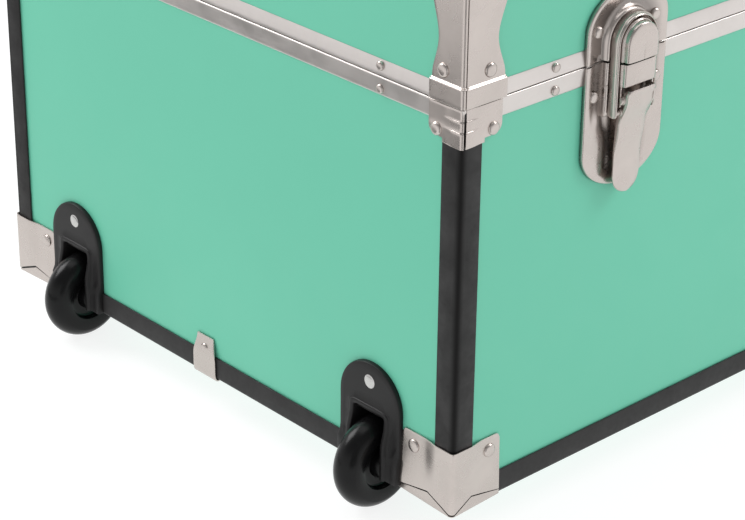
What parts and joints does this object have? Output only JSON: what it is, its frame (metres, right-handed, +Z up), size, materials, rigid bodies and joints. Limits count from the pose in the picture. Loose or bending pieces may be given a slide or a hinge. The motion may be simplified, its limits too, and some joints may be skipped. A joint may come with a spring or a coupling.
{
  "type": "wheeled storage footlocker",
  "caption": "Panelled storage chest with a hinged lid, metal corners and bands, black edge bindings, draw latches, a centre lock, a bail handle and wheels at one end.",
  "frame": {"origin": "middle of the bounding box in plan, on the surface that the wheels stand on", "axes": "+X from the wheel end to the handle end, +Y from the front with its latches to the back with its hinges, +Z up"},
  "size_m": [0.8148, 0.424, 0.3378],
  "materials": {
    "mint_vinyl": "smooth satin vinyl laminate over board",
    "black_vinyl": "satin vinyl edge binding with a fine grain",
    "galvanised_band": "bright rolled steel band with faint streaks along it",
    "nickel_plate": "satin nickel plate on pressed steel",
    "black_plastic": "satin moulded plastic",
    "wheel_plastic": "glossy moulded wheel",
    "axle_steel": "plain drawn steel",
    "key_brass": "turned brass"
  },
  "bodies": {
    "base": {"base_front_panel": "mint_vinyl", "base_back_panel": "mint_vinyl", "base_handle_end_panel": "mint_vinyl", "base_wheel_end_panel": "mint_vinyl", "base_bottom_panel": "mint_vinyl", "base_valance": "galvanised_band", "post_binding_front_wheel": "black_vinyl", "post_binding_front_handle": "black_vinyl", "post_binding_back_wheel": "black_vinyl", "post_binding_back_handle": "black_vinyl", "bottom_binding_front": "black_vinyl", "bottom_binding_back": "black_vinyl", "bottom_binding_wheel_end": "black_vinyl", "bottom_binding_handle_end": "black_vinyl", "bottom_corner_front_wheel": "nickel_plate", "bottom_corner_front_handle": "nickel_plate", "bottom_corner_back_wheel": "nickel_plate", "bottom_corner_back_handle": "nickel_plate", "base_corner_front_wheel": "nickel_plate", "base_corner_front_handle": "nickel_plate", "base_corner_back_wheel": "nickel_plate", "base_corner_back_handle": "nickel_plate", "edge_clamp_wheel_end": "nickel_plate", "edge_clamp_handle_end": "nickel_plate", "wheel_housing_front": "black_plastic", "wheel_housing_back": "black_plastic", "axle_front": "axle_steel", "axle_back": "axle_steel", "latch_base_wheel_side": "nickel_plate", "latch_base_handle_side": "nickel_plate", "hinge_base_leaf_wheel_side": "nickel_plate", "hinge_base_leaf_handle_side": "nickel_plate", "handle_bracket_front": "nickel_plate", "handle_bracket_back": "nickel_plate", "lock_case": "nickel_plate"},
    "lid": {"lid_top_panel": "mint_vinyl", "lid_front_panel": "mint_vinyl", "lid_back_panel": "mint_vinyl", "lid_wheel_end_panel": "mint_vinyl", "lid_handle_end_panel": "mint_vinyl", "lid_valance": "galvanised_band", "lid_binding": "black_vinyl", "lid_corner_front_wheel": "nickel_plate", "lid_corner_front_handle": "nickel_plate", "lid_corner_back_wheel": "nickel_plate", "lid_corner_back_handle": "nickel_plate", "latch_catch_wheel_side": "nickel_plate", "latch_catch_handle_side": "nickel_plate", "hinge_lid_leaf_wheel_side": "nickel_plate", "hinge_lid_leaf_handle_side": "nickel_plate", "lock_strike": "nickel_plate"},
    "wheel_front": {"wheel_front": "wheel_plastic"},
    "wheel_back": {"wheel_back": "wheel_plastic"},
    "handle": {"handle_bail": "black_plastic"},
    "key": {"key_cylinder": "key_brass"},
    "lever_wheel_side": {"latch_lever_wheel_side": "nickel_plate"},
    "link_wheel_side": {"latch_link_wheel_side": "nickel_plate"},
    "lever_handle_side": {"latch_lever_handle_side": "nickel_plate"},
    "link_handle_side": {"latch_link_handle_side": "nickel_plate"}
  },
  "joints": [
    {"name": "lid_hinge", "type": "hinge", "parent": "base", "child": "lid", "pos_m": [0, 0.2092, 0.26], "axis": [-1, 0, 0], "range_deg": [0, 105]},
    {"name": "wheel_front_spin", "type": "hinge", "parent": "base", "child": "wheel_front", "pos_m": [-0.3794, -0.1325, 0.028], "axis": [0, 1, 0], "continuous": true},
    {"name": "wheel_back_spin", "type": "hinge", "parent": "base", "child": "wheel_back", "pos_m": [-0.3794, 0.1405, 0.028], "axis": [0, 1, 0], "continuous": true},
    {"name": "latch_wheel_side_lever", "type": "hinge", "parent": "base", "child": "lever_wheel_side", "pos_m": [-0.263, -0.2065, 0.2388], "axis": [-1, 0, 0], "range_deg": [0, 130]},
    {"name": "latch_wheel_side_link", "type": "hinge", "parent": "lever_wheel_side", "child": "link_wheel_side", "pos_m": [-0.263, -0.2048, 0.2317], "axis": [-1, 0, 0], "range_deg": [-130, 0]},
    {"name": "latch_handle_side_lever", "type": "hinge", "parent": "base", "child": "lever_handle_side", "pos_m": [0.263, -0.2065, 0.2388], "axis": [-1, 0, 0], "range_deg": [0, 130]},
    {"name": "latch_handle_side_link", "type": "hinge", "parent": "lever_handle_side", "child": "link_handle_side", "pos_m": [0.263, -0.2048, 0.2317], "axis": [-1, 0, 0], "range_deg": [-130, 0]},
    {"name": "handle_swing", "type": "hinge", "parent": "base", "child": "handle", "pos_m": [0.3964, 0.004, 0.184], "axis": [0, -1, 0], "range_deg": [0, 90]},
    {"name": "key_turn", "type": "hinge", "parent": "base", "child": "key", "pos_m": [0, -0.208, 0.23], "axis": [0, 1, 0], "range_deg": [0, 90]}
  ],
  "couplings": [
    {"joint": "latch_wheel_side_link", "follows": "latch_wheel_side_lever", "ratio": -1},
    {"joint": "latch_handle_side_link", "follows": "latch_handle_side_lever", "ratio": -1}
  ]
}
